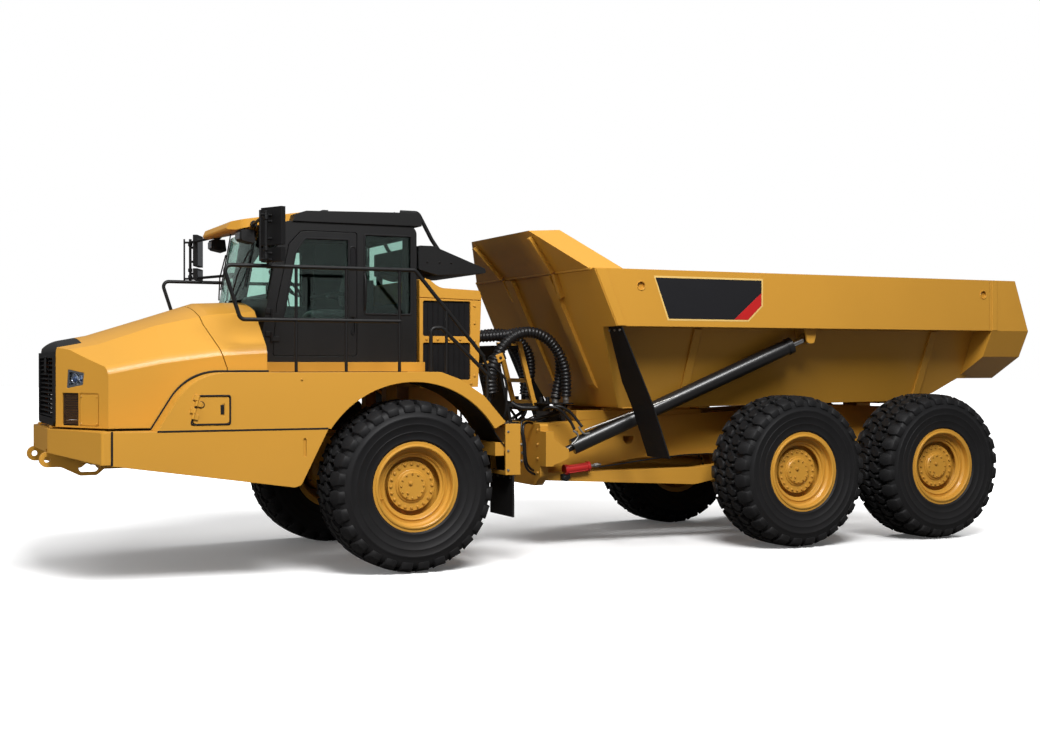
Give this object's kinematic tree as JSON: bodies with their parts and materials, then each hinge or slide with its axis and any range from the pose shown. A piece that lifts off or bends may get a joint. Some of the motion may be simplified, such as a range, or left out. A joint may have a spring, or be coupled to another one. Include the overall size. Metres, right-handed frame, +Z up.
{
  "type": "articulated dump truck",
  "caption": "Three-axle articulated dump truck: front frame with cab and tilting hood, steering and rolling hitch, rear frame with a tipping load body and rams.",
  "frame": {"origin": "on the ground, under the middle of the truck's length and width", "axes": "+X forward, +Y to the driver's left, +Z up"},
  "size_m": [11.6598, 3.639, 3.746],
  "materials": {
    "body_yellow": "satin",
    "cab_black": "satin",
    "grille_black": "satin",
    "engine_iron": "matte",
    "interior_plastic": "matte",
    "seat_fabric": "woven",
    "window_glass": "clear",
    "rubber_flap": "matte",
    "lamp_lens": "gloss",
    "ram_black": "gloss",
    "rod_chrome": "polished",
    "tyre_rubber": "matte"
  },
  "bodies": {
    "front_frame": {"front_chassis": "body_yellow", "engine_block": "engine_iron", "front_axle": "body_yellow", "bumper": "body_yellow", "cowl": "body_yellow", "fenders": "body_yellow", "side_boxes": "body_yellow", "cab_shell": "cab_black", "cab_roof": "cab_black", "roof_visor": "body_yellow", "roof_lamps": "cab_black", "cab_glass": "window_glass", "cab_interior": "interior_plastic", "seat_cushions": "seat_fabric", "cooling_housing": "body_yellow", "cooling_mesh": "grille_black", "rear_guard": "cab_black", "handrails": "cab_black", "mirrors": "cab_black", "access_steps": "body_yellow", "mud_flaps": "rubber_flap"},
    "hood": {"hood_shell": "body_yellow", "hood_cap": "cab_black", "grille": "grille_black", "headlamps": "lamp_lens"},
    "hatch": {"fender_hatch": "body_yellow"},
    "door": {"left_door": "cab_black", "left_door_glass": "window_glass"},
    "hitch_yoke": {"hitch_yoke": "body_yellow", "hose_tower": "cab_black"},
    "rear_frame": {"rear_chassis": "body_yellow", "tail_lamps": "lamp_lens", "rear_axles": "body_yellow", "walking_beams": "body_yellow", "trailing_links": "body_yellow"},
    "dump_body": {"dump_shell": "body_yellow", "headboard": "body_yellow", "splash_flaps": "rubber_flap"},
    "hoist_barrel_left": {"hoist_barrel_left": "ram_black"},
    "hoist_rod_left": {"hoist_rod_left": "rod_chrome"},
    "hoist_barrel_right": {"hoist_barrel_right": "ram_black"},
    "hoist_rod_right": {"hoist_rod_right": "rod_chrome"},
    "steering_barrel_left": {"steering_barrel_left": "ram_black"},
    "steering_rod_left": {"steering_rod_left": "rod_chrome"},
    "steering_barrel_right": {"steering_barrel_right": "ram_black"},
    "steering_rod_right": {"steering_rod_right": "rod_chrome"},
    "wheel_front_left": {"tyre_front_left": "tyre_rubber", "rim_front_left": "body_yellow"},
    "wheel_front_right": {"tyre_front_right": "tyre_rubber", "rim_front_right": "body_yellow"},
    "wheel_middle_left": {"tyre_middle_left": "tyre_rubber", "rim_middle_left": "body_yellow"},
    "wheel_middle_right": {"tyre_middle_right": "tyre_rubber", "rim_middle_right": "body_yellow"},
    "wheel_rear_left": {"tyre_rear_left": "tyre_rubber", "rim_rear_left": "body_yellow"},
    "wheel_rear_right": {"tyre_rear_right": "tyre_rubber", "rim_rear_right": "body_yellow"}
  },
  "joints": [
    {"name": "steering", "type": "hinge", "parent": "front_frame", "child": "hitch_yoke", "pos_m": [0.91, 0, 1.08], "axis": [0, 0, 1], "range_deg": [-45, 45]},
    {"name": "frame_roll", "type": "hinge", "parent": "hitch_yoke", "child": "rear_frame", "pos_m": [0.51, 0, 1.08], "axis": [1, 0, 0], "range_deg": [-15, 15]},
    {"name": "dump", "type": "hinge", "parent": "rear_frame", "child": "dump_body", "pos_m": [-4.78, 0, 1.56], "axis": [0, -1, 0], "range_deg": [0, 70]},
    {"name": "hood_tilt", "type": "hinge", "parent": "front_frame", "child": "hood", "pos_m": [5.71, 0, 1.485], "axis": [0, 1, 0], "range_deg": [0, 60]},
    {"name": "door_swing", "type": "hinge", "parent": "front_frame", "child": "door", "pos_m": [3.622, 0.914, 2.5], "axis": [0, 0, -1], "range_deg": [0, 40]},
    {"name": "hatch_swing", "type": "hinge", "parent": "front_frame", "child": "hatch", "pos_m": [4.59, 1.664, 1.53], "axis": [0.251, 0, -0.968], "range_deg": [0, 90]},
    {"name": "hoist_swing_left", "type": "hinge", "parent": "rear_frame", "child": "hoist_barrel_left", "pos_m": [0.3, 0.77, 1.1], "axis": [0.4306, 0.6384, 0.638], "range_deg": [0, 6.97]},
    {"name": "hoist_slide_left", "type": "slide", "parent": "hoist_barrel_left", "child": "hoist_rod_left", "axis": [-0.8934, 0.2009, 0.4019], "range_m": [0, 2.6406]},
    {"name": "hoist_swing_right", "type": "hinge", "parent": "rear_frame", "child": "hoist_barrel_right", "pos_m": [0.3, -0.77, 1.1], "axis": [-0.4306, 0.6384, -0.638], "range_deg": [0, 6.97]},
    {"name": "hoist_slide_right", "type": "slide", "parent": "hoist_barrel_right", "child": "hoist_rod_right", "axis": [-0.8934, -0.2009, 0.4019], "range_m": [0, 2.6406]},
    {"name": "steering_swing_left", "type": "hinge", "parent": "front_frame", "child": "steering_barrel_left", "pos_m": [2.03, 0.47, 0.96], "axis": [0, 0, 1], "range_deg": [-5, 5]},
    {"name": "steering_slide_left", "type": "slide", "parent": "steering_barrel_left", "child": "steering_rod_left", "axis": [-0.9995, -0.0315, 0], "range_m": [-0.33, 0.33]},
    {"name": "steering_swing_right", "type": "hinge", "parent": "front_frame", "child": "steering_barrel_right", "pos_m": [2.03, -0.47, 0.96], "axis": [0, 0, 1], "range_deg": [-5, 5]},
    {"name": "steering_slide_right", "type": "slide", "parent": "steering_barrel_right", "child": "steering_rod_right", "axis": [-0.9995, 0.0315, 0], "range_m": [-0.33, 0.33]},
    {"name": "wheel_spin_front_left", "type": "hinge", "parent": "front_frame", "child": "wheel_front_left", "pos_m": [2.36, 1.384, 0.87], "axis": [0, 1, 0], "continuous": true},
    {"name": "wheel_spin_front_right", "type": "hinge", "parent": "front_frame", "child": "wheel_front_right", "pos_m": [2.36, -1.384, 0.87], "axis": [0, 1, 0], "continuous": true},
    {"name": "wheel_spin_middle_left", "type": "hinge", "parent": "rear_frame", "child": "wheel_middle_left", "pos_m": [-2.356, 1.384, 0.87], "axis": [0, 1, 0], "continuous": true},
    {"name": "wheel_spin_middle_right", "type": "hinge", "parent": "rear_frame", "child": "wheel_middle_right", "pos_m": [-2.356, -1.384, 0.87], "axis": [0, 1, 0], "continuous": true},
    {"name": "wheel_spin_rear_left", "type": "hinge", "parent": "rear_frame", "child": "wheel_rear_left", "pos_m": [-4.385, 1.384, 0.87], "axis": [0, 1, 0], "continuous": true},
    {"name": "wheel_spin_rear_right", "type": "hinge", "parent": "rear_frame", "child": "wheel_rear_right", "pos_m": [-4.385, -1.384, 0.87], "axis": [0, 1, 0], "continuous": true}
  ],
  "couplings": [
    {"joint": "hoist_swing_left", "follows": "dump", "ratio": 0.098107},
    {"joint": "hoist_slide_left", "follows": "dump", "m_per_rad": 2.1605},
    {"joint": "hoist_swing_right", "follows": "dump", "ratio": 0.098107},
    {"joint": "hoist_slide_right", "follows": "dump", "m_per_rad": 2.1605},
    {"joint": "steering_swing_left", "follows": "steering", "ratio": 0.070716},
    {"joint": "steering_slide_left", "follows": "steering", "m_per_rad": 0.40117},
    {"joint": "steering_swing_right", "follows": "steering", "ratio": 0.070716},
    {"joint": "steering_slide_right", "follows": "steering", "m_per_rad": -0.40117}
  ]
}
